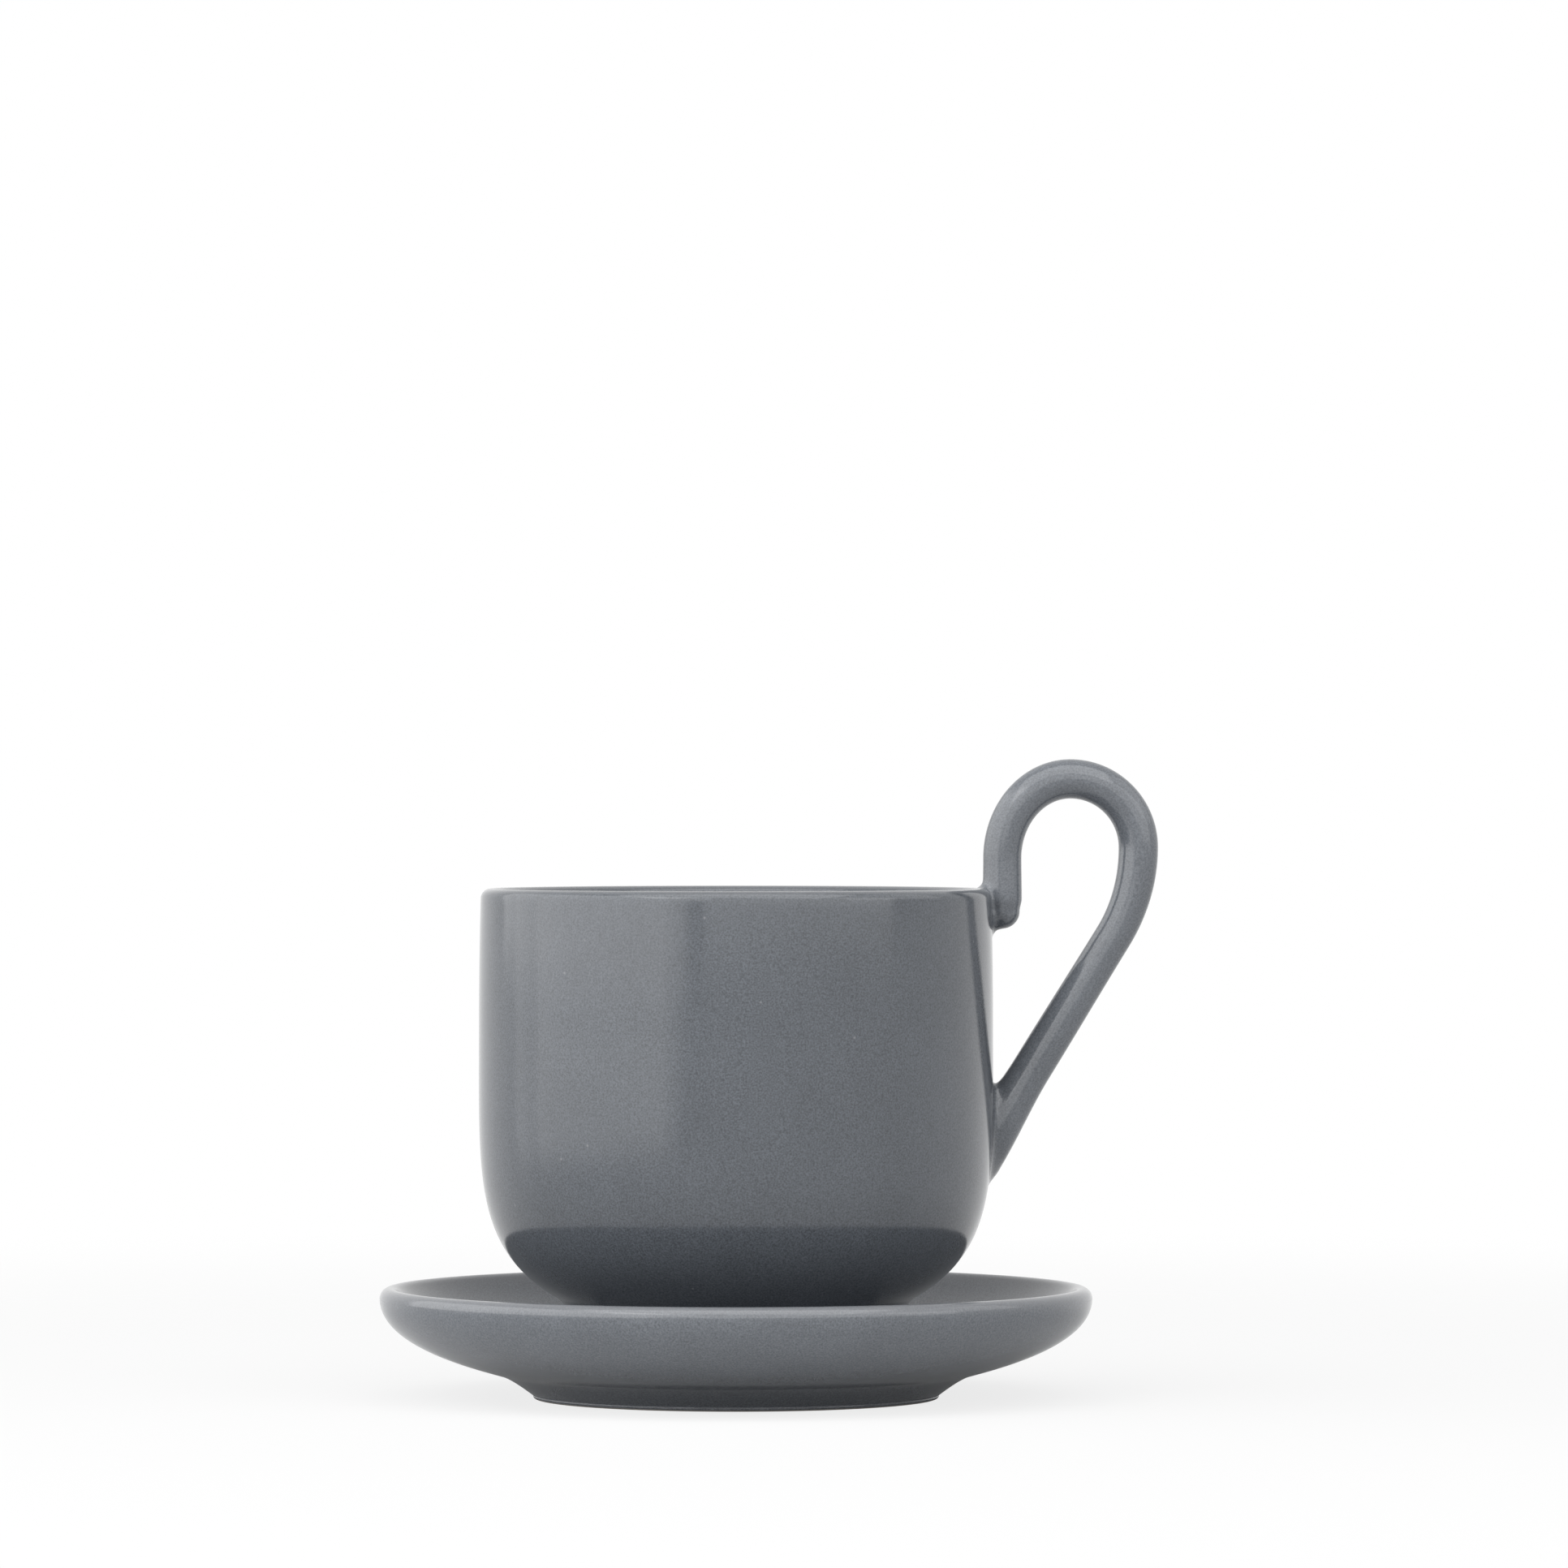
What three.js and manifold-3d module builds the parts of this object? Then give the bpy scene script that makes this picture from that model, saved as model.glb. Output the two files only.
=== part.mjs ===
// Espresso cup with a high looped handle, standing on its saucer.
// Millimetres, +Z up, the handle towards +X, the saucer's foot ring on z = 0.

import * as THREE from 'three';
import { mergeVertices } from 'three/addons/utils/BufferGeometryUtils.js';
import Module from 'manifold-3d';

// Saucer
const saucerDiameter = 83.2;
const saucerHeight = 12.95;
const saucerLipThickness = 2.5;
const saucerFootDiameter = 47.4;
const saucerFootHeight = 2.4;
const saucerFootTaper = 2.6;
const saucerFootRingWidth = 2.8;
const saucerRecessDepth = 1.5;
const saucerUndersideSlope = 16.7;
const wellDiameter = 43;
const wellHeight = 5.6;

// Cup body
const cupDiameter = 60;
const cupHeight = 53.9;
const rimTuck = 0.2;
const bellyDrop = 15.7;
const wallThickness = 2.9;
const lipThickness = 2.3;
const floorThickness = 3.6;
const cupFootDiameter = 35;
const cupFootHeight = 6.1;
const cupFootFlare = 3.3;
const cupFootRingWidth = 2.4;
const cupRecessDepth = 2;
const bowlSlope = 30;

// Cup handle
const rodDiameter = 4.6;
const loopRadius = 8.05;
const loopRise = 12.8;
const limbCurveHeight = 9.3;
const limbStandOff = 1.53;
const limbDrop = 4.75;
const limbTipLength = 3.5;
const legBendRadius = 19.85;
const legLandingDrop = 29.05;
const legRunOn = 5;
const legRootGain = 0.42;
const jointSwell = 0.4;
const jointSwellRun = 8;
const slipJoint = 0.3;

// Fullness of the hand-drawn curves, as shares of the spans that they cross
const undersideFullness = 0.19;
const saucerWallFullness = 0.62;
const dishWallFullness = 0.5;
const dishFloorFullness = 0.54;
const bellyFullness = 0.56;
const bowlFullness = 1.09;
const floorFullness = 0.6;
const footSideFullness = 0.33;

// Rounding of the foot rings' edges
const footEdge = 0.4;

// Fineness of the facets
const turnSegments = 60;
const shortCurveSteps = 3;
const curveSteps = 6;
const longCurveSteps = 12;
const lipSteps = 6;
const closestCorners = 0.01;
const rodSides = 20;
const rodStep = 1.5;
const roundEndRings = 5;

// Shared places
const saucerRadius = saucerDiameter / 2;
const cupRadius = cupDiameter / 2;
const rimRadius = cupRadius - rimTuck;
const cupBase = wellHeight;
const rimHeight = cupBase + cupHeight;
const bellyHeight = rimHeight - bellyDrop;
const lipRadius = lipThickness / 2;
const rodRadius = rodDiameter / 2;
const limbTop = rimHeight + loopRise - limbCurveHeight;
const landingHeight = rimHeight - legLandingDrop;

const glaze = new THREE.MeshStandardMaterial({ color: 0x565b62, roughness: 0.18, metalness: 0 });

const wasm = await Module();
wasm.setup();

function point(radius, height) {
  return new THREE.Vector2(radius, height);
}

function polar(angleInDegrees, length) {
  const angle = THREE.MathUtils.degToRad(angleInDegrees);
  return point(Math.cos(angle) * length, Math.sin(angle) * length);
}

// A curve's points, moved to the left of its direction by a distance that changes along it
function sidePoints(curve, distanceAt) {
  return Array.from({ length: curveSteps + 1 }, (_, step) => {
    const along = step / curveSteps;
    const left = curve.getTangent(along);
    left.set(-left.y, left.x);
    return curve.getPoint(along).addScaledVector(left, distanceAt(along));
  });
}

// Half a turn from the outer side of a lip, over its crest, to its inner side
function lipPoints(centre, radius) {
  const arc = new THREE.EllipseCurve(centre.x, centre.y, radius, radius, 0, Math.PI);
  return arc.getPoints(lipSteps);
}

// Profiles run from the axis under the piece, up its outside, and back to the axis inside it
function revolve(profile) {
  const apart = profile.filter((corner, i) => i === 0 || corner.distanceTo(profile[i - 1]) > closestCorners);
  return new THREE.LatheGeometry(apart, turnSegments).rotateX(Math.PI / 2);
}

// Flat-bottomed foot ring with eased edges and a recess inside it
function footRing(radius, ringWidth, base, recessDepth) {
  const inside = radius - ringWidth;
  const eased = footEdge * (1 - Math.SQRT1_2);
  return [
    point(0, base + recessDepth),
    point(inside - recessDepth, base + recessDepth),
    point(inside - footEdge, base + footEdge),
    point(inside, base),
    point(radius - footEdge, base),
    point(radius - eased, base + eased),
  ];
}

function saucerProfile() {
  const footRadius = saucerFootDiameter / 2;
  const shoulder = point(footRadius + saucerFootTaper, saucerFootHeight);
  const lipCentre = point(saucerRadius - saucerLipThickness / 2, saucerHeight - saucerLipThickness / 2);
  const widest = point(saucerRadius, lipCentre.y);
  const footSpread = (widest.x - shoulder.x) * undersideFullness;
  const underStart = polar(saucerUndersideSlope, footSpread / 2).add(shoulder);
  const footSide = new THREE.QuadraticBezierCurve(point(footRadius, footEdge), shoulder, underStart);
  const underside = new THREE.CubicBezierCurve(
    underStart,
    polar(saucerUndersideSlope, footSpread).add(underStart),
    point(widest.x, widest.y - (widest.y - underStart.y) * saucerWallFullness),
    widest,
  );
  const wellEdge = point(wellDiameter / 2, wellHeight);
  const lipInside = point(lipCentre.x - saucerLipThickness / 2, lipCentre.y);
  const dishSpan = lipInside.clone().sub(wellEdge);
  const dish = new THREE.CubicBezierCurve(
    lipInside,
    point(lipInside.x - (lipInside.x - lipCentre.x + saucerLipThickness) * dishWallFullness,
      lipInside.y - dishSpan.y * dishWallFullness),
    point(wellEdge.x + dishSpan.x * dishFloorFullness, wellEdge.y),
    wellEdge,
  );
  return [
    ...footRing(footRadius, saucerFootRingWidth, 0, saucerRecessDepth),
    ...footSide.getPoints(shortCurveSteps),
    ...underside.getPoints(curveSteps),
    ...lipPoints(lipCentre, saucerLipThickness / 2),
    ...dish.getPoints(curveSteps),
    point(0, wellHeight),
  ];
}

// Outside of the cup, from the top of its foot ring to the lip
const footTop = point(cupFootDiameter / 2 + cupFootFlare, cupBase + cupFootHeight);
const belly = point(cupRadius, bellyHeight);
const cupLipCentre = point(rimRadius - lipRadius, rimHeight - lipRadius);
const bowlReach = (cupRadius - footTop.x) * bowlFullness / Math.cos(THREE.MathUtils.degToRad(bowlSlope));
const bowl = new THREE.CubicBezierCurve(
  footTop,
  polar(bowlSlope, bowlReach).add(footTop),
  point(cupRadius, bellyHeight - (bellyHeight - footTop.y) * bellyFullness),
  belly,
);
const wall = new THREE.QuadraticBezierCurve(
  belly,
  point(cupRadius, (belly.y + cupLipCentre.y) / 2),
  point(rimRadius, cupLipCentre.y),
);

function cupProfile() {
  const footRadius = cupFootDiameter / 2;
  const floorHeight = cupBase + cupRecessDepth + floorThickness;
  const footWaist = polar(bowlSlope, -cupFootFlare * footSideFullness).add(footTop);
  const footSide = new THREE.QuadraticBezierCurve(point(footRadius, cupBase + footEdge), footWaist, footTop);
  const insideWall = sidePoints(wall, (along) => THREE.MathUtils.lerp(wallThickness, lipThickness, along));
  const insideBowl = sidePoints(bowl, () => wallThickness);
  const bowlEnd = insideBowl[0];
  const floorEdge = bowlEnd.x - (bowlEnd.y - floorHeight) / Math.tan(THREE.MathUtils.degToRad(bowlSlope));
  const floorCurve = new THREE.QuadraticBezierCurve(
    bowlEnd,
    point(floorEdge, floorHeight),
    point(floorEdge * floorFullness, floorHeight),
  );
  return [
    ...footRing(footRadius, cupFootRingWidth, cupBase, cupRecessDepth),
    ...footSide.getPoints(shortCurveSteps),
    ...bowl.getPoints(longCurveSteps),
    ...wall.getPoints(shortCurveSteps),
    ...lipPoints(cupLipCentre, lipRadius),
    ...insideWall.reverse(),
    ...insideBowl.reverse(),
    ...floorCurve.getPoints(shortCurveSteps),
    point(0, floorHeight),
  ];
}

// The cup's outside grown by the slip joint and filled in, which shapes the handle's two seats
function seatProfile() {
  const grow = () => -slipJoint;
  return [
    point(0, footTop.y),
    ...sidePoints(bowl, grow),
    ...sidePoints(wall, grow),
    ...lipPoints(cupLipCentre, lipRadius + slipJoint),
    point(0, cupLipCentre.y),
  ];
}

function radiusOfWall(height) {
  const outside = [...bowl.getPoints(longCurveSteps), ...wall.getPoints(shortCurveSteps)];
  const above = outside.findIndex((corner) => corner.y >= height);
  const upper = outside[Math.max(above, 1)];
  const lower = outside[Math.max(above, 1) - 1];
  return lower.x + (upper.x - lower.x) * (height - lower.y) / (upper.y - lower.y);
}

// Centreline of the rod in the XZ plane: up the limb, over the loop, round the bend and down the leg
function handleCentreline() {
  const limbX = rimRadius + limbStandOff;
  const loopTop = point(limbX + loopRadius, rimHeight + loopRise);
  const bendHeight = loopTop.y - loopRadius;
  const bendCentre = point(loopTop.x + loopRadius - legBendRadius, bendHeight);
  const landing = point(radiusOfWall(landingHeight), landingHeight);
  const toLanding = landing.clone().sub(bendCentre);
  const lean = Math.asin(legBendRadius / toLanding.length()) - Math.atan2(toLanding.x, -toLanding.y);
  const legDirection = point(-Math.sin(lean), -Math.cos(lean));
  const legEnd = landing.clone().addScaledVector(legDirection, legRunOn);
  const bendEnd = point(Math.cos(lean), -Math.sin(lean)).multiplyScalar(legBendRadius).add(bendCentre);
  return [
    new THREE.LineCurve(point(limbX, rimHeight - limbDrop + limbTipLength), point(limbX, limbTop)),
    new THREE.EllipseCurve(loopTop.x, limbTop, loopRadius, limbCurveHeight, Math.PI, Math.PI / 2, true),
    new THREE.EllipseCurve(loopTop.x, bendHeight, loopRadius, loopRadius, Math.PI / 2, 0, true),
    new THREE.EllipseCurve(bendCentre.x, bendHeight, legBendRadius, legBendRadius, 0, -lean, true),
    new THREE.LineCurve(bendEnd, legEnd),
  ];
}

// Places along the centreline, with the rod's radius and its swelling towards the joint at each end
function handleStations(centreline) {
  const stations = [];
  centreline.forEach((curve, part) => {
    const steps = Math.ceil(curve.getLength() / rodStep);
    const onLimb = part === 0;
    const onLeg = part === centreline.length - 1;
    const swellStart = onLimb ? rimHeight : landingHeight;
    const swellEnd = onLimb ? limbTop : landingHeight + jointSwellRun;
    for (let step = onLimb ? 0 : 1; step <= steps; step += 1) {
      const place = curve.getPointAt(step / steps);
      const tangent = curve.getTangentAt(step / steps);
      const swell = onLimb || onLeg ? 1 - THREE.MathUtils.smoothstep(place.y, swellStart, swellEnd) : 0;
      const radius = rodRadius + (onLeg ? legRootGain * swell : 0);
      stations.push({ place, tangent, radius, swell, wallSide: onLimb ? 1 : -1 });
    }
  });
  return stations;
}

// One section of the rod: round, and drawn out sideways on the side that meets the wall
function rodRing({ place, tangent, radius, swell, wallSide }, scale = 1, shift = 0) {
  return Array.from({ length: rodSides }, (_, side) => {
    const angle = (side / rodSides) * Math.PI * 2;
    const outward = Math.cos(angle) * radius * scale;
    const drawn = 1 + swell * jointSwell * (1 + wallSide * Math.cos(angle)) / 2;
    return new THREE.Vector3(
      place.x + tangent.x * shift - tangent.y * outward,
      -Math.sin(angle) * radius * scale * drawn,
      place.y + tangent.y * shift + tangent.x * outward,
    );
  });
}

// Rings of a round end of a given length: from near the pole to the full section, or back
function roundEnd(station, direction, length) {
  const rings = [];
  for (let ring = 1; ring < roundEndRings; ring += 1) {
    const angle = (ring / roundEndRings) * Math.PI / 2;
    rings.push(rodRing(station, Math.sin(angle), direction * length * Math.cos(angle)));
  }
  return direction < 0 ? rings : rings.reverse();
}

// Closed skin over a row of rings, with a pole at each end
function loft(rings, firstPole, lastPole) {
  const corners = [firstPole, ...rings.flat(), lastPole];
  const last = corners.length - 1;
  const faces = [];
  const corner = (ring, side) => 1 + ring * rodSides + (side % rodSides);
  for (let side = 0; side < rodSides; side += 1) {
    faces.push(0, corner(0, side + 1), corner(0, side));
    faces.push(last, corner(rings.length - 1, side), corner(rings.length - 1, side + 1));
    for (let ring = 1; ring < rings.length; ring += 1) {
      faces.push(corner(ring - 1, side), corner(ring - 1, side + 1), corner(ring, side + 1));
      faces.push(corner(ring - 1, side), corner(ring, side + 1), corner(ring, side));
    }
  }
  return new THREE.BufferGeometry().setFromPoints(corners).setIndex(faces);
}

function handleRod() {
  const stations = handleStations(handleCentreline());
  const first = stations[0];
  const last = stations[stations.length - 1];
  const pole = ({ place, tangent }, shift) =>
    new THREE.Vector3(place.x + tangent.x * shift, 0, place.y + tangent.y * shift);
  const rings = [
    ...roundEnd(first, -1, limbTipLength),
    ...stations.map((station) => rodRing(station)),
    ...roundEnd(last, 1, last.radius),
  ];
  return loft(rings, pole(first, -limbTipLength), pole(last, last.radius));
}

function toSolid(geometry) {
  const bare = geometry.clone();
  bare.deleteAttribute('normal');
  bare.deleteAttribute('uv');
  const merged = mergeVertices(bare);
  const corners = merged.index.array;
  const faces = [];
  for (let i = 0; i < corners.length; i += 3) {
    const [a, b, c] = corners.slice(i, i + 3);
    if (a !== b && b !== c && c !== a) faces.push(a, b, c);
  }
  return new wasm.Manifold(new wasm.Mesh({
    numProp: 3,
    vertProperties: new Float32Array(merged.attributes.position.array),
    triVerts: new Uint32Array(faces),
  }));
}

function toGeometry(solid) {
  const mesh = solid.getMesh();
  const geometry = new THREE.BufferGeometry();
  geometry.setAttribute('position', new THREE.BufferAttribute(mesh.vertProperties, mesh.numProp));
  geometry.setIndex(new THREE.BufferAttribute(mesh.triVerts, 1));
  geometry.computeVertexNormals();
  return geometry;
}

function handleGeometry() {
  const seats = toSolid(revolve(seatProfile()));
  return toGeometry(toSolid(handleRod()).subtract(seats));
}

function piece(name, geometry) {
  const mesh = new THREE.Mesh(geometry, glaze);
  mesh.name = name;
  return mesh;
}

const cup = new THREE.Group();
cup.add(piece('cup_body', revolve(cupProfile())));
cup.add(piece('cup_handle', handleGeometry()));

// The origin is under the middle of the whole set, which reaches further on the handle's side
const handleReach = rimRadius + limbStandOff + loopRadius * 2 + rodRadius;
const set = new THREE.Group();
set.add(piece('saucer', revolve(saucerProfile())), cup);
set.position.x = -(Math.max(handleReach, saucerRadius) - saucerRadius) / 2;

const model = new THREE.Group();
model.add(set);

export default model;
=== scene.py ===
from math import asin, atan2, cos, hypot, pi, radians, sin, tan

import bpy
import numpy as np
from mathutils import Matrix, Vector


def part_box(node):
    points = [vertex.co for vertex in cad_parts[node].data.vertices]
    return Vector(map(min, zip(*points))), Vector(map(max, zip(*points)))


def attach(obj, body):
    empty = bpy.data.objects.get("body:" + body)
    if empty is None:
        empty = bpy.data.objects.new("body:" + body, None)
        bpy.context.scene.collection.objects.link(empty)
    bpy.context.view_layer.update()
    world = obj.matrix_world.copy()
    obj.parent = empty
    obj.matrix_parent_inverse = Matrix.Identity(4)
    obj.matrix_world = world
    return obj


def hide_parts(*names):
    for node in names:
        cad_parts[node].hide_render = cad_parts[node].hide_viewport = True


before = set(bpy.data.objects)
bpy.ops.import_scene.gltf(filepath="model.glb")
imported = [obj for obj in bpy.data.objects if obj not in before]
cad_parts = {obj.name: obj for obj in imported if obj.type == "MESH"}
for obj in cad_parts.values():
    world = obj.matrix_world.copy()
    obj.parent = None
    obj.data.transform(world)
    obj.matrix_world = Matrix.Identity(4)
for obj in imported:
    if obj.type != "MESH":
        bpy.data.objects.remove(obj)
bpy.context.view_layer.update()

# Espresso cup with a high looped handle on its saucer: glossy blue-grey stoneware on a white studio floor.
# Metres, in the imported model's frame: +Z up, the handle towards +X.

# Places taken from the frame
SAUCER_LOW, SAUCER_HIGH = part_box("saucer")
CUP_LOW, CUP_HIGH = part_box("cup_body")
HANDLE_LOW, HANDLE_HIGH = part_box("cup_handle")
AXIS_X = (CUP_LOW.x + CUP_HIGH.x) / 2
SAUCER_RADIUS = (SAUCER_HIGH.x - SAUCER_LOW.x) / 2
CUP_RADIUS = (CUP_HIGH.x - CUP_LOW.x) / 2

# Saucer
SAUCER_LIP = 0.00125
SAUCER_FOOT_RADIUS = 0.0237
SAUCER_FOOT_HEIGHT = 0.0024
SAUCER_FOOT_TAPER = 0.0026
SAUCER_FOOT_RING = 0.0028
SAUCER_RECESS = 0.0015
UNDERSIDE_SLOPE = radians(16.7)
DISH_SLOPE = radians(50)
WELL_RADIUS = 0.0215

# Cup body
BELLY_SWELL = 0.0002
BELLY_DROP = 0.0157
RIM_RADIUS = CUP_RADIUS - BELLY_SWELL
BELLY_HEIGHT = CUP_HIGH.z - BELLY_DROP
CUP_WALL = 0.0029
CUP_LIP = 0.00115
CUP_FLOOR = 0.0036
CUP_FOOT_RADIUS = 0.0175
CUP_FOOT_HEIGHT = 0.0061
CUP_FOOT_FLARE = 0.0033
CUP_FOOT_EASE = 0.0011
CUP_FOOT_RING = 0.0024
CUP_RECESS = 0.002
BOWL_SLOPE = radians(30)

# Rounding of both foot rings' edges
FOOT_EDGE = 0.0004

# Where the control points of the turned curves lie, as shares of the room they have
FOOT_SPREAD = 0.19
UNDERSIDE_FULLNESS = 0.62
DISH_START = 0.2
DISH_REACH = 0.53
BOWL_REACH = 1.09
BOWL_FULLNESS = 0.56
FLOOR_FLAT = 0.6

# Cup handle: a rod whose radius changes a little from stretch to stretch
ROD_RADIUS = 0.0023
TIP_ROD = 0.00205
TIP_LENGTH = 0.0035
RIM_ROD = 0.0023
LIMB_ROD = 0.00225
LOOP_ROD = 0.00232
LEG_ROD = 0.0022
NECK_ROD = 0.00232
ROOT_ROD = 0.00296
LOOP_RADIUS = 0.00805
LIMB_CURVE_HEIGHT = 0.0093
LIMB_STAND_OFF = 0.00153
LIMB_DROP = 0.00475
LEG_BEND_RADIUS = 0.01985
LEG_LANDING_DROP = 0.02905
LEG_RUN_ON = 0.0028
LEG_ROOT_RUN = 0.008

# Fillets where the rod runs out on the cup, at heights from its rim
FILLET_HEIGHTS = (-0.012, -0.0062, -0.0052, -0.0042, -0.0025, -0.0008, 0.0002)
FILLETS = (0.0016, 0.0026, 0.0023, 0.0014, 0.0008, 0.0005, 0.0012)
ROOT_DEPTH = 0.0006
SKIRT = 0.0005
SKIRT_SLOPE = 0.04

# Camera, turned so that the handle points a little away from it
CAMERA_TURN = radians(6)
CAMERA_DISTANCE = 1.043
CAMERA_HEIGHT = 0.0717
CAMERA_SHIFT = 0.0056
LENS_MM = 205
SENSOR_MM = 36

# Fineness of the turned pieces
TURN_SEGMENTS = 288
BOWL_STEPS = 56
CURVE_STEPS = 28
ARC_STEPS = 14
CORNER_STEPS = 7
FLAT_STEPS = 7

# Fineness of the handle
ROD_STEPS = 160
ROD_PITCH = 0.0002
GRID_MARGIN = 3 * ROD_PITCH
SLOPE_STEP = ROD_PITCH / 20
SETTLE_ROUNDS = 2
SEARCH_PARTS = 64

# Glaze: tones from dark to light grain, and what changes them
CUP_TONES = (0.057, 0.0628, 0.0714, 1), (0.1095, 0.1203, 0.1372, 1)
# The handle's tones are lighter than the cup's same glaze: painted light.
HANDLE_PAINTED_LIGHT_TONES = (0.094, 0.1017, 0.1135, 1), (0.154, 0.1667, 0.186, 1)
# The saucer's tones are lighter than the cup's same glaze: painted light.
SAUCER_PAINTED_LIGHT_TONES = (0.083, 0.0902, 0.101, 1), (0.145, 0.1575, 0.1765, 1)
PINHOLE_TONE = (0.16, 0.167, 0.178, 1)
# Over the lips the glaze is lighter: thinner glaze there, and a painted highlight along the rim.
LIP_GLAZE_AND_HIGHLIGHT_TONE = (0.19, 0.194, 0.204, 1)
BARE_TONE = (0.34, 0.31, 0.28, 1)
GRAIN_SCALE = 5000
GRAIN_DETAIL = 2
CLOUD_SCALE = 120
CLOUD_DETAIL = 3
PINHOLE_SCALE = 230
NOISE_RANGE = (0.3, 0.7)
PINHOLE_EDGE = (0.02, 0.045)
CLOUD_SHADE = (0.95, 1.05)
LIP_GLAZE_AND_HIGHLIGHT_SHARE = 0.5
# Where the handle's painted light gives way to the cup's tones, near the wall and under the rim: painted
# shade at its root.
ROOT_SHADE_BLEND = (0.0001, 0.0028)
RIM_SHADE_BLEND = (-0.005, -0.001)
# Depths of the lighter lip bands, thinner glaze and painted highlight
CUP_LIP_DEPTH = 0.0006
SAUCER_LIP_DEPTH = 0.0018
BARE_EDGE = (0.0001, 0.0002)
GLOSS_ROUGHNESS = (0.1, 0.15)
BARE_ROUGHNESS = 0.8
CLOUD_BUMP = 0.00002
GRAIN_BUMP = 0.000004
GLAZE_IOR = 1.52

# Sockets of a Mix node, by place because several share a name
MIX_SHARE = 0
MIX_NUMBERS = (2, 3)
MIX_NUMBER_OUT = 0
MIX_COLOURS = (6, 7)
MIX_COLOUR_OUT = 2

# Floor and surroundings
FLOOR_RADIUS = 0.45
FLOOR_SIDES = 96
FLOOR_TONE = (0.72, 0.72, 0.72, 1)
FLOOR_FADE = (0.12, 0.4)
FLOOR_SEEN = 0.8
FLOOR_MIRRORED = (0.05, 0.85)
FLOOR_MIRRORED_REACH = (0.03, 0.15)
WHITE = (1, 1, 1, 1)
WORLD_LIGHT = 0.15
WORLD_SEEN = 1.0

# Lamps: degrees round from the camera's side and up, distance, width and height, and brightness
SOFTBOXES = {
    "left_softbox": (-64.5, 16, 0.9, (1.28, 1.2), 0.58),
    "left_wide_softbox": (-70, 16, 1.0, (2.12, 1.33), 0.5),
    "left_high_softbox": (-74.5, 27.2, 1.1, (3.2, 1.1), 1.02),
    "top_softbox": (0, 63, 0.85, (1.2, 0.8), 2.2),
    "front_softbox": (30, 20.7, 1.6, (3.2, 1.05), 1.2),
    "right_softbox": (80, 35, 1.2, (1.2, 0.8), 0.8),
}


def bezier(corners, steps=CURVE_STEPS):
    """Points along a Bezier curve of any degree."""
    share = np.linspace(0, 1, steps + 1)[:, None]
    level = [np.array(corner, float) for corner in corners]
    while len(level) > 1:
        level = [a + (b - a) * share for a, b in zip(level, level[1:])]
    return level[0]


def arc(centre, radii, start, end, steps=ARC_STEPS):
    """Points along an arc of an ellipse, between two angles in degrees."""
    angle = np.radians(np.linspace(start, end, steps + 1))
    return np.stack([centre[0] + radii[0] * np.cos(angle), centre[1] + radii[1] * np.sin(angle)], 1)


def line(start, end, steps=1):
    """Points along a straight line."""
    return np.linspace(start, end, steps + 1)


def along(corner, angle, length):
    """The point at a distance from a corner, in a direction above the horizontal."""
    return corner[0] + cos(angle) * length, corner[1] + sin(angle) * length


def inset(points, distance):
    """Points moved to the left of their direction of travel."""
    ahead = np.gradient(points, axis=0)
    left = np.stack([-ahead[:, 1], ahead[:, 0]], 1) / np.linalg.norm(ahead, axis=1)[:, None]
    return points + left * np.reshape(distance, (-1, 1))


def rounded(corners, radius):
    """A path through corners, with each corner between its ends eased."""
    corners = np.array(corners, float)
    path = [corners[:1]]
    for before, corner, after in zip(corners, corners[1:], corners[2:]):
        back = (before - corner) * radius / np.linalg.norm(before - corner)
        on = (after - corner) * radius / np.linalg.norm(after - corner)
        path.append(bezier([corner + back, corner, corner + on], CORNER_STEPS))
    return np.concatenate(path + [corners[-1:]])


def foot_ring(radius, width, base, recess):
    """Underside of a foot ring: from the axis, out over the recess, to the ring's outer edge."""
    inside = radius - width
    ceiling = base + recess
    slope_top = (inside - recess, ceiling)
    flat_end = (slope_top[0] - recess, ceiling)
    flat = line((0, ceiling), flat_end, FLAT_STEPS)
    ring = rounded(
        [
            flat_end,
            slope_top,
            (inside, base),
            (radius, base),
            (radius, base + FOOT_EDGE),
        ],
        FOOT_EDGE,
    )
    return np.concatenate([flat, ring])


def cup_outside():
    """Outside of the cup, from the top of its foot to its lip, in two curves."""
    foot_top = (CUP_FOOT_RADIUS + CUP_FOOT_FLARE, CUP_LOW.z + CUP_FOOT_HEIGHT)
    lip_height = CUP_HIGH.z - CUP_LIP
    bowl = bezier(
        [
            foot_top,
            along(foot_top, BOWL_SLOPE, (CUP_RADIUS - foot_top[0]) * BOWL_REACH / cos(BOWL_SLOPE)),
            (CUP_RADIUS, BELLY_HEIGHT - (BELLY_HEIGHT - foot_top[1]) * BOWL_FULLNESS),
            (CUP_RADIUS, BELLY_HEIGHT),
        ],
        BOWL_STEPS,
    )
    wall = bezier(
        [
            (CUP_RADIUS, BELLY_HEIGHT),
            (CUP_RADIUS, (BELLY_HEIGHT + lip_height) / 2),
            (RIM_RADIUS, lip_height),
        ]
    )
    return bowl, wall


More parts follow.
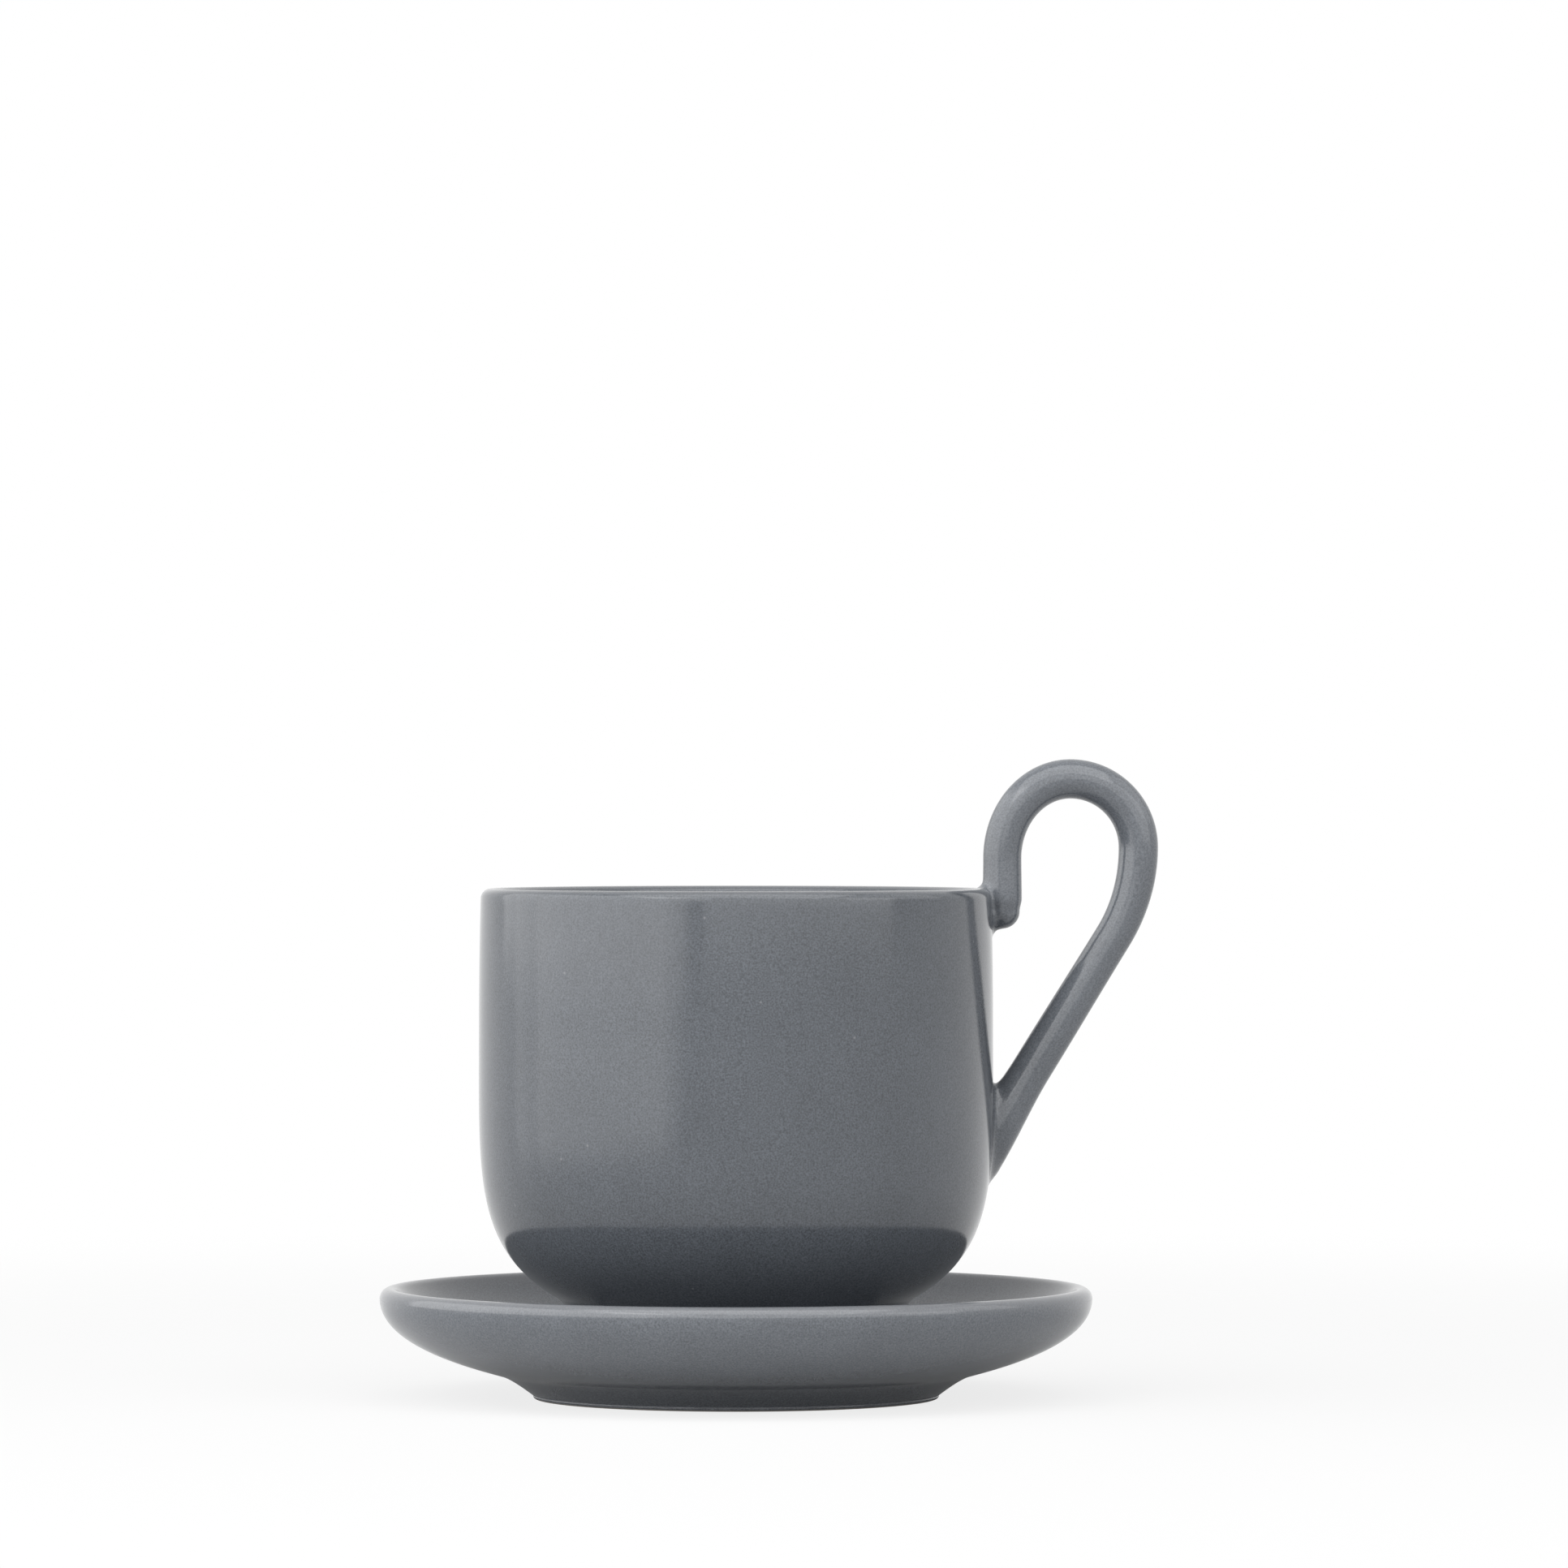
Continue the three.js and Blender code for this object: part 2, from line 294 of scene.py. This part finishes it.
def cup_profile():
    """Section of the cup, from the axis under it, up its outside, to the axis on its floor."""
    bowl, wall = cup_outside()
    foot_top = bowl[0]
    foot_side = bezier(
        [
            (CUP_FOOT_RADIUS, CUP_LOW.z + FOOT_EDGE),
            along(foot_top, BOWL_SLOPE, -CUP_FOOT_EASE),
            foot_top,
        ],
        ARC_STEPS,
    )
    lip = arc((RIM_RADIUS - CUP_LIP, CUP_HIGH.z - CUP_LIP), (CUP_LIP, CUP_LIP), 0, 180)
    inside_wall = inset(wall, np.linspace(CUP_WALL, 2 * CUP_LIP, len(wall)))
    inside_bowl = inset(bowl, CUP_WALL)
    floor_height = CUP_LOW.z + CUP_RECESS + CUP_FLOOR
    bowl_end = inside_bowl[0]
    floor_edge = bowl_end[0] - (bowl_end[1] - floor_height) / tan(BOWL_SLOPE)
    floor_flat = floor_edge * FLOOR_FLAT
    floor_curve = bezier([bowl_end, (floor_edge, floor_height), (floor_flat, floor_height)])
    floor = line((floor_flat, floor_height), (0, floor_height), FLAT_STEPS)
    return [
        foot_ring(CUP_FOOT_RADIUS, CUP_FOOT_RING, CUP_LOW.z, CUP_RECESS),
        foot_side,
        bowl,
        wall,
        lip,
        inside_wall[::-1],
        inside_bowl[::-1],
        floor_curve,
        floor,
    ]


def saucer_profile():
    """Section of the saucer, from the axis under it, up its outside, to the axis in its well."""
    shoulder = (SAUCER_FOOT_RADIUS + SAUCER_FOOT_TAPER, SAUCER_FOOT_HEIGHT)
    lip_height = SAUCER_HIGH.z - SAUCER_LIP
    foot_spread = (SAUCER_RADIUS - shoulder[0]) * FOOT_SPREAD
    under_start = along(shoulder, UNDERSIDE_SLOPE, foot_spread / 2)
    foot_side = bezier([(SAUCER_FOOT_RADIUS, FOOT_EDGE), shoulder, under_start], ARC_STEPS)
    underside = bezier(
        [
            under_start,
            along(under_start, UNDERSIDE_SLOPE, foot_spread),
            (SAUCER_RADIUS, lip_height - (lip_height - under_start[1]) * UNDERSIDE_FULLNESS),
            (SAUCER_RADIUS, lip_height),
        ]
    )
    lip_end = 90 + np.degrees(DISH_SLOPE)
    lip = arc((SAUCER_RADIUS - SAUCER_LIP, lip_height), (SAUCER_LIP, SAUCER_LIP), 0, lip_end)
    dish_width = lip[-1][0] - WELL_RADIUS
    well_height = CUP_LOW.z
    dish = bezier(
        [
            lip[-1],
            along(lip[-1], pi + DISH_SLOPE, dish_width * DISH_START),
            (WELL_RADIUS + dish_width * DISH_REACH, well_height),
            (WELL_RADIUS, well_height),
        ]
    )
    well = line((WELL_RADIUS, well_height), (0, well_height), FLAT_STEPS)
    return [
        foot_ring(SAUCER_FOOT_RADIUS, SAUCER_FOOT_RING, 0, SAUCER_RECESS),
        foot_side,
        underside,
        lip,
        dish,
        well,
    ]


def make_piece(name, points, faces, body, slot, material):
    """A smooth mesh of one material, which rides a body."""
    mesh = bpy.data.meshes.new(name)
    mesh.from_pydata([tuple(point) for point in points], [], faces)
    mesh.shade_smooth()
    mesh.materials.append(material)
    piece = bpy.data.objects.new(name, mesh)
    bpy.context.collection.objects.link(piece)
    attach(piece, body)
    return piece


def turned(curves):
    """Points and faces of a closed form, turned about the set's axis from curves that meet end to end."""
    profile = np.concatenate([curves[0]] + [curve[1:] for curve in curves[1:]])
    turn = np.arange(TURN_SEGMENTS) * 2 * pi / TURN_SEGMENTS
    rings = [
        np.stack([AXIS_X + radius * np.cos(turn), radius * np.sin(turn), np.full_like(turn, height)], 1)
        for radius, height in profile[1:-1]
    ]
    points = np.concatenate([[(AXIS_X, 0, profile[0][1])], *rings, [(AXIS_X, 0, profile[-1][1])]])
    last = len(points) - 1
    faces = []
    for side in range(TURN_SEGMENTS):
        here, there = 1 + side, 1 + (side + 1) % TURN_SEGMENTS
        faces.append((0, there, here))
        for ring in range(len(rings) - 1):
            low, high = ring * TURN_SEGMENTS, (ring + 1) * TURN_SEGMENTS
            faces.append((here + low, there + low, there + high, here + high))
        top = (len(rings) - 1) * TURN_SEGMENTS
        faces.append((here + top, there + top, last))
    return points, faces


def eased(start, end, steps):
    """Numbers that go from one to another and level out at both."""
    share = np.linspace(0, 1, steps + 1)
    return start + (end - start) * share * share * (3 - 2 * share)


def handle_rod(wall):
    """Samples of the rod's middle in the XZ plane, from its tip into the wall, and its radius there."""
    limb_x = RIM_RADIUS + LIMB_STAND_OFF
    loop_x = limb_x + LOOP_RADIUS
    loop_top = HANDLE_HIGH.z - ROD_RADIUS
    limb_top = loop_top - LIMB_CURVE_HEIGHT
    tip = CUP_HIGH.z - LIMB_DROP
    bend = (loop_x + LOOP_RADIUS - LEG_BEND_RADIUS, loop_top - LOOP_RADIUS)
    landing_height = CUP_HIGH.z - LEG_LANDING_DROP
    landing_x = np.interp(landing_height, wall[:, 1], wall[:, 0])
    across, down = landing_x - bend[0], bend[1] - landing_height
    lean = asin(LEG_BEND_RADIUS / hypot(across, down)) - atan2(across, down)
    leg_start = along(bend, -lean, LEG_BEND_RADIUS)
    neck = along((landing_x, landing_height), pi / 2 - lean, LEG_ROOT_RUN / cos(lean))
    leg_end = along((landing_x, landing_height), pi / 2 - lean, -LEG_RUN_ON)
    middle = [
        line((limb_x, tip + TIP_ROD), (limb_x, tip + TIP_LENGTH), ROD_STEPS),
        line((limb_x, tip + TIP_LENGTH), (limb_x, limb_top), ROD_STEPS),
        arc((loop_x, limb_top), (LOOP_RADIUS, LIMB_CURVE_HEIGHT), 180, 90, ROD_STEPS),
        arc((loop_x, bend[1]), (LOOP_RADIUS, LOOP_RADIUS), 90, 0, ROD_STEPS),
        arc(bend, (LEG_BEND_RADIUS, LEG_BEND_RADIUS), 0, -np.degrees(lean), ROD_STEPS),
        line(leg_start, neck, ROD_STEPS),
        line(neck, leg_end, ROD_STEPS),
    ]
    ends = [TIP_ROD, RIM_ROD, LIMB_ROD, LOOP_ROD, LOOP_ROD, LEG_ROD, NECK_ROD, ROOT_ROD]
    radius = [eased(start, end, ROD_STEPS) for start, end in zip(ends, ends[1:])]
    return np.concatenate(middle), np.concatenate(radius)


def rod_distance(x, z, middle, radius):
    """Distance in the XZ plane from the nearest sample of the rod's middle, and the rod's radius there."""
    x, z = np.broadcast_arrays(x, z)
    parts = np.array_split(np.stack([x.ravel(), z.ravel()]), SEARCH_PARTS, axis=1)
    nearest = [
        ((part_x[:, None] - middle[:, 0]) ** 2 + (part_z[:, None] - middle[:, 1]) ** 2).argmin(1)
        for part_x, part_z in parts
    ]
    nearest = np.concatenate(nearest).reshape(x.shape)
    return np.hypot(x - middle[nearest, 0], z - middle[nearest, 1]), radius[nearest]


def handle_field(x, y, z, middle, radius, wall):
    """Signed distance from the handle's skin: the rod, with fillets where it runs out on the wall."""
    distance, thickness = rod_distance(x, z, middle, radius)
    rod = np.hypot(distance, y) - thickness
    from_axis = np.hypot(x, y)
    lip_height = CUP_HIGH.z - CUP_LIP
    beside_wall = from_axis - np.interp(z, wall[:, 1], wall[:, 0])
    over_lip = np.hypot(from_axis - RIM_RADIUS + CUP_LIP, z - lip_height) - CUP_LIP
    cup = np.where(z > lip_height, over_lip, beside_wall)
    fillet = np.interp(z - CUP_HIGH.z, FILLET_HEIGHTS, FILLETS)
    # The fillet runs out into a skirt, which follows the cup and sinks under its skin away from the rod
    skirt = cup + SKIRT_SLOPE * np.maximum(rod - fillet, 0)
    overlap = np.maximum(fillet - np.abs(rod - skirt), 0)
    skin = np.minimum(rod, skirt) - overlap ** 2 / (4 * fillet)
    # The handle ends at the root's depth in the cup and at the skirt's width around the rod
    end = np.maximum(-cup - ROOT_DEPTH, rod - fillet - SKIRT)
    return np.maximum(skin, end)


def net_points(field, origin, pitch):
    """One point in each cell that the skin passes through, and the number of each cell's point."""
    cells = tuple(size - 1 for size in field.shape)
    grid = np.stack(np.meshgrid(*(np.arange(size) for size in cells), indexing="ij"), -1).astype(float)
    total = np.zeros(cells + (3,))
    count = np.zeros(cells)
    for axis in range(3):
        sides = [other for other in range(3) if other != axis]
        for first in (0, 1):
            for second in (0, 1):
                start = np.zeros(3, int)
                start[sides] = first, second
                end = start + np.eye(3, dtype=int)[axis]
                low, high = (
                    field[tuple(slice(s, s + n) for s, n in zip(corner, cells))] for corner in (start, end)
                )
                crossed = (low < 0) != (high < 0)
                place = grid + start
                place[..., axis] += np.where(crossed, low / np.where(crossed, low - high, 1), 0)
                total += place * crossed[..., None]
                count += crossed
    used = count > 0
    number = np.full(cells, -1)
    number[used] = np.arange(used.sum())
    return origin + total[used] / count[used][:, None] * pitch, number


def net_faces(field, number):
    """Four-sided faces between the points of the cells around each grid edge that the skin crosses."""
    quads = []
    for axis in range(3):
        order = (axis, (axis + 1) % 3, (axis + 2) % 3)
        inside = np.moveaxis(field < 0, order, (0, 1, 2))[:, 1:-1, 1:-1]
        low, high = inside[:-1], inside[1:]
        cell = np.moveaxis(number, order, (0, 1, 2))
        around = np.stack([cell[:, :-1, :-1], cell[:, 1:, :-1], cell[:, 1:, 1:], cell[:, :-1, 1:]], -1)
        quads.append(around[low & ~high])
        quads.append(around[~low & high][:, ::-1])
    return np.concatenate(quads)


def handle_mesh():
    """Points and faces of the handle, settled on its skin."""
    wall = np.concatenate(cup_outside())
    middle, radius = handle_rod(wall)
    room = GRID_MARGIN + max(FILLETS) + SKIRT
    room_for_root = 2 * room
    low = np.array([HANDLE_LOW.x - AXIS_X, HANDLE_LOW.y, HANDLE_LOW.z]) - room_for_root
    high = np.array([HANDLE_HIGH.x - AXIS_X, HANDLE_HIGH.y, HANDLE_HIGH.z]) + room
    places = (np.arange(start, end, ROD_PITCH) for start, end in zip(low, high))
    grid = np.meshgrid(*places, indexing="ij", sparse=True)
    field = handle_field(*grid, middle, radius, wall)
    points, number = net_points(field, low, ROD_PITCH)
    for _ in range(SETTLE_ROUNDS):
        here = handle_field(*points.T, middle, radius, wall)
        moved = [handle_field(*(points + step).T, middle, radius, wall) for step in np.eye(3) * SLOPE_STEP]
        slope = (np.stack(moved, 1) - here[:, None]) / SLOPE_STEP
        move = slope * (here / (slope ** 2).sum(1))[:, None]
        points = points - np.clip(move, -ROD_PITCH / 2, ROD_PITCH / 2)
    return points + (AXIS_X, 0, 0), net_faces(field, number).tolist()


def add_node(tree, kind, inputs, **settings):
    """Adds a node, with its settings, and with its inputs set to values or linked to other nodes."""
    node = tree.nodes.new(kind)
    for name, value in settings.items():
        setattr(node, name, value)
    for name, value in inputs.items():
        if isinstance(value, bpy.types.NodeSocket):
            tree.links.new(value, node.inputs[name])
        else:
            node.inputs[name].default_value = value
    return node


def ramp(tree, value, source, target, interpolation="LINEAR"):
    """Output that follows a value from one range of numbers to another, and stops at the range's ends."""
    ends = {"From Min": source[0], "From Max": source[1], "To Min": target[0], "To Max": target[1]}
    node = add_node(tree, "ShaderNodeMapRange", {"Value": value, **ends}, interpolation_type=interpolation)
    return node.outputs["Result"]


def blend(tree, share, first, second, blend_type="MIX"):
    """Output with a share of a second colour over a first one."""
    inputs = {MIX_SHARE: share, MIX_COLOURS[0]: first, MIX_COLOURS[1]: second}
    node = add_node(tree, "ShaderNodeMix", inputs, data_type="RGBA", blend_type=blend_type)
    return node.outputs[MIX_COLOUR_OUT]


def between(tree, share, first, second):
    """Output that goes from a first number to a second one with a share."""
    inputs = {MIX_SHARE: share, MIX_NUMBERS[0]: first, MIX_NUMBERS[1]: second}
    return add_node(tree, "ShaderNodeMix", inputs).outputs[MIX_NUMBER_OUT]


def combine(tree, operation, first, second):
    """Output of one operation on two numbers."""
    return add_node(tree, "ShaderNodeMath", {0: first, 1: second}, operation=operation).outputs["Value"]


def grained(tree, grain, tones):
    """Output that follows the grain from a dark tone to a light one."""
    node = add_node(tree, "ShaderNodeValToRGB", {"Fac": grain})
    for stop, position, tone in zip(node.color_ramp.elements, NOISE_RANGE, tones):
        stop.position = position
        stop.color = tone
    return node.outputs["Color"]


def out_of_root_shade(tree, place, height):
    """Output that goes from 0 where the handle runs out on the cup's wall to 1 away from it; it places the
    painted shade at the handle's root.
    """
    level = {0: place, 1: (1, 1, 0), 2: (-AXIS_X, 0, 0)}
    from_axis = add_node(tree, "ShaderNodeVectorMath", level, operation="MULTIPLY_ADD").outputs["Vector"]
    radius = add_node(tree, "ShaderNodeVectorMath", {0: from_axis}, operation="LENGTH").outputs["Value"]
    near, far = (CUP_RADIUS + reach for reach in ROOT_SHADE_BLEND)
    low, high = (CUP_HIGH.z + reach for reach in RIM_SHADE_BLEND)
    beside = ramp(tree, radius, (near, far), (0, 1), "SMOOTHSTEP")
    above = ramp(tree, height, (low, high), (0, 1), "SMOOTHSTEP")
    return combine(tree, "MAXIMUM", beside, above)


def glaze(name, tones, lip=None, foot=None, root_shade_tones=None):
    """Glossy glaze between two tones, with fine grain, soft clouds and pinholes.

    It can be lighter over a lip, between two heights, for thinner glaze and a painted highlight; bare under
    a foot; and of other tones at the root, a painted shade where the handle's painted light gives way.
    """
    material = bpy.data.materials.new(name)
    material.use_nodes = True
    tree = material.node_tree
    shader = tree.nodes["Principled BSDF"]
    place = tree.nodes.new("ShaderNodeTexCoord").outputs["Object"]
    height = add_node(tree, "ShaderNodeSeparateXYZ", {"Vector": place}).outputs["Z"]

    grain_noise = {"Vector": place, "Scale": GRAIN_SCALE, "Detail": GRAIN_DETAIL}
    grain = add_node(tree, "ShaderNodeTexNoise", grain_noise).outputs["Fac"]
    cloud_noise = {"Vector": place, "Scale": CLOUD_SCALE, "Detail": CLOUD_DETAIL}
    cloud = add_node(tree, "ShaderNodeTexNoise", cloud_noise).outputs["Fac"]
    cells = add_node(tree, "ShaderNodeTexVoronoi", {"Vector": place, "Scale": PINHOLE_SCALE})
    pinhole = ramp(tree, cells.outputs["Distance"], PINHOLE_EDGE, (1, 0))

    colour = grained(tree, grain, tones)
    # Near the wall the colour goes back to the cup's tones: painted shade at the handle's root.
    if root_shade_tones:
        shaded_root_colour = grained(tree, grain, root_shade_tones)
        colour = blend(tree, out_of_root_shade(tree, place, height), shaded_root_colour, colour)
    cloud_shade = ramp(tree, cloud, NOISE_RANGE, CLOUD_SHADE)
    colour = blend(tree, 1, colour, cloud_shade, "MULTIPLY")
    colour = blend(tree, pinhole, colour, PINHOLE_TONE)
    roughness = ramp(tree, grain, NOISE_RANGE, GLOSS_ROUGHNESS)
    # Lighter over the lip: thinner glaze there, and a painted highlight along the rim.
    if lip:
        lip_glaze_and_highlight = ramp(tree, height, lip, (0, LIP_GLAZE_AND_HIGHLIGHT_SHARE), "SMOOTHSTEP")
        colour = blend(tree, lip_glaze_and_highlight, colour, LIP_GLAZE_AND_HIGHLIGHT_TONE)
    if foot is not None:
        bare = ramp(tree, height, (foot + BARE_EDGE[0], foot + BARE_EDGE[1]), (1, 0))
        colour = blend(tree, bare, colour, BARE_TONE)
        roughness = between(tree, bare, roughness, BARE_ROUGHNESS)
    swell = add_node(tree, "ShaderNodeBump", {"Height": cloud, "Distance": CLOUD_BUMP}).outputs["Normal"]
    fine = {"Height": grain, "Distance": GRAIN_BUMP, "Normal": swell}
    surface = add_node(tree, "ShaderNodeBump", fine).outputs["Normal"]

    shader.inputs["IOR"].default_value = GLAZE_IOR
    tree.links.new(colour, shader.inputs["Base Color"])
    tree.links.new(roughness, shader.inputs["Roughness"])
    tree.links.new(surface, shader.inputs["Normal"])
    return material


def make_floor():
    """White floor that keeps the shadow near the set and fades into the white surroundings."""
    material = bpy.data.materials.new("white_floor")
    material.use_nodes = True
    tree = material.node_tree
    tree.nodes.remove(tree.nodes["Principled BSDF"])
    place = tree.nodes.new("ShaderNodeTexCoord").outputs["Object"]
    reach = add_node(tree, "ShaderNodeVectorMath", {0: place}, operation="LENGTH").outputs["Value"]
    fade = ramp(tree, reach, FLOOR_FADE, (0, 1), "SMOOTHSTEP")
    own_white = ramp(tree, reach, FLOOR_MIRRORED_REACH, FLOOR_MIRRORED, "SMOOTHSTEP")
    behind = tree.nodes.new("ShaderNodeNewGeometry").outputs["Backfacing"]
    clear = combine(tree, "MAXIMUM", fade, behind)
    path = tree.nodes.new("ShaderNodeLightPath").outputs
    direct = combine(tree, "MULTIPLY", path["Is Camera Ray"], FLOOR_SEEN)
    mirrored = combine(tree, "MAXIMUM", path["Is Glossy Ray"], path["Is Transmission Ray"])
    share = combine(tree, "MAXIMUM", direct, combine(tree, "MULTIPLY", mirrored, own_white))
    lit = add_node(tree, "ShaderNodeBsdfDiffuse", {"Color": FLOOR_TONE}).outputs["BSDF"]
    glow = add_node(tree, "ShaderNodeEmission", {"Color": WHITE, "Strength": 1.0}).outputs["Emission"]
    pale = add_node(tree, "ShaderNodeMixShader", {0: share, 1: lit, 2: glow}).outputs["Shader"]
    open_air = tree.nodes.new("ShaderNodeBsdfTransparent").outputs["BSDF"]
    mixed = add_node(tree, "ShaderNodeMixShader", {0: clear, 1: pale, 2: open_air}).outputs["Shader"]
    tree.links.new(mixed, tree.nodes["Material Output"].inputs["Surface"])
    bpy.ops.mesh.primitive_circle_add(vertices=FLOOR_SIDES, radius=FLOOR_RADIUS, fill_type="NGON")
    floor = bpy.context.object
    floor.name = "floor"
    floor.data.materials.append(material)


def light_world():
    """Even studio light, which the camera and the reflections see as white."""
    world = bpy.data.worlds.new("studio")
    bpy.context.scene.world = world
    world.use_nodes = True
    tree = world.node_tree
    path = tree.nodes.new("ShaderNodeLightPath").outputs
    mirrored = combine(tree, "MAXIMUM", path["Is Glossy Ray"], path["Is Transmission Ray"])
    seen = combine(tree, "MAXIMUM", path["Is Camera Ray"], mirrored)
    soft, white = (
        add_node(tree, "ShaderNodeBackground", {"Color": WHITE, "Strength": strength}).outputs["Background"]
        for strength in (WORLD_LIGHT, WORLD_SEEN)
    )
    mixed = add_node(tree, "ShaderNodeMixShader", {0: seen, 1: soft, 2: white}).outputs["Shader"]
    tree.links.new(mixed, tree.nodes["World Output"].inputs["Surface"])


def softbox(name, azimuth, elevation, distance, size, brightness):
    """Lamp that faces the set, as bright as so many white surfaces; azimuth 0 is the camera's side."""
    lamp = bpy.data.lights.new(name, "AREA")
    lamp.shape = "RECTANGLE"
    lamp.size, lamp.size_y = size
    lamp.energy = brightness * pi * size[0] * size[1]
    holder = bpy.data.objects.new(name, lamp)
    bpy.context.collection.objects.link(holder)
    turn, rise = radians(azimuth) - CAMERA_TURN, radians(elevation)
    holder.location = (
        distance * cos(rise) * sin(turn),
        -distance * cos(rise) * cos(turn),
        CUP_HIGH.z / 2 + distance * sin(rise),
    )
    holder.rotation_euler = (pi / 2 - rise, 0, turn)
    holder.visible_camera = False


def place_camera():
    """Long lens, level, a little above the rim, as in the photograph."""
    camera = bpy.data.objects.new("camera", bpy.data.cameras.new("camera"))
    bpy.context.collection.objects.link(camera)
    camera.data.lens = LENS_MM
    camera.data.sensor_width = SENSOR_MM
    ahead = np.array([sin(CAMERA_TURN), cos(CAMERA_TURN), 0])
    right = np.array([cos(CAMERA_TURN), -sin(CAMERA_TURN), 0])
    camera.location = np.array([AXIS_X, 0, CAMERA_HEIGHT]) - ahead * CAMERA_DISTANCE + right * CAMERA_SHIFT
    camera.rotation_euler = (pi / 2, 0, -CAMERA_TURN)
    bpy.context.scene.camera = camera


# Pieces
# The lips' lighter bands: thinner glaze and a painted highlight.
cup_lip = (CUP_HIGH.z - CUP_LIP_DEPTH, CUP_HIGH.z)
saucer_lip = (SAUCER_HIGH.z - SAUCER_LIP_DEPTH, SAUCER_HIGH.z)
cup_glaze = glaze("cup_glaze", CUP_TONES, lip=cup_lip, foot=CUP_LOW.z)
# The handle's lighter tones are painted light, and the cup's tones at its root are painted shade.
handle_glaze_painted_light = glaze("handle_glaze_painted_light", HANDLE_PAINTED_LIGHT_TONES, root_shade_tones=CUP_TONES)
# The saucer's lighter tones are painted light.
saucer_glaze = glaze("saucer_glaze", SAUCER_PAINTED_LIGHT_TONES, lip=saucer_lip, foot=SAUCER_LOW.z)
saucer = make_piece("saucer_dish", *turned(saucer_profile()), "saucer", "saucer_glaze", saucer_glaze)
cup = make_piece("cup_bowl", *turned(cup_profile()), "cup", "cup_glaze", cup_glaze)
handle = make_piece("cup_loop_handle", *handle_mesh(), "cup", "cup_glaze", handle_glaze_painted_light)
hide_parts("saucer")
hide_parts("cup_body")
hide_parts("cup_handle")

# Studio
make_floor()
light_world()
for lamp_name, placing in SOFTBOXES.items():
    softbox(lamp_name, *placing)
place_camera()
bpy.context.scene.view_settings.view_transform = "Standard"
